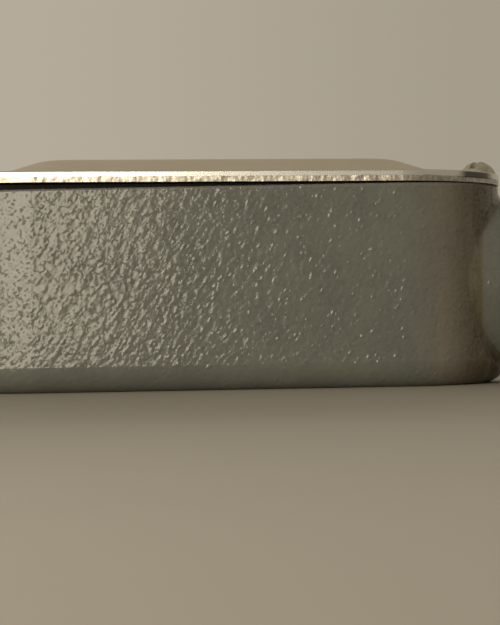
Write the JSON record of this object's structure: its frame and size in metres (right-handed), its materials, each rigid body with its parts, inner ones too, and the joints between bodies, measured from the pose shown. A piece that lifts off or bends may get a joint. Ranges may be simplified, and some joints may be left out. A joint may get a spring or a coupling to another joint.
{
  "type": "conduit body",
  "caption": "Straight-through cast conduit body: threaded hub at each end, wiring chamber, stamped cover on screws with a gasket; one end of the cover is loose.",
  "frame": {"origin": "on the flat back, half way between the two hubs", "axes": "+X along the hub axis, +Y across the body, +Z out through the cover"},
  "size_m": [0.1384, 0.04, 0.0422],
  "materials": {
    "textured_enamel": "textured",
    "stamped_aluminium": "satin",
    "gasket_rubber": "matte",
    "zinc_plated_steel": "satin"
  },
  "bodies": {
    "root": {"body_casting": "textured_enamel", "cover": "stamped_aluminium", "gasket": "gasket_rubber", "screw_right": "zinc_plated_steel", "screw_left": "zinc_plated_steel"}
  },
  "joints": []
}
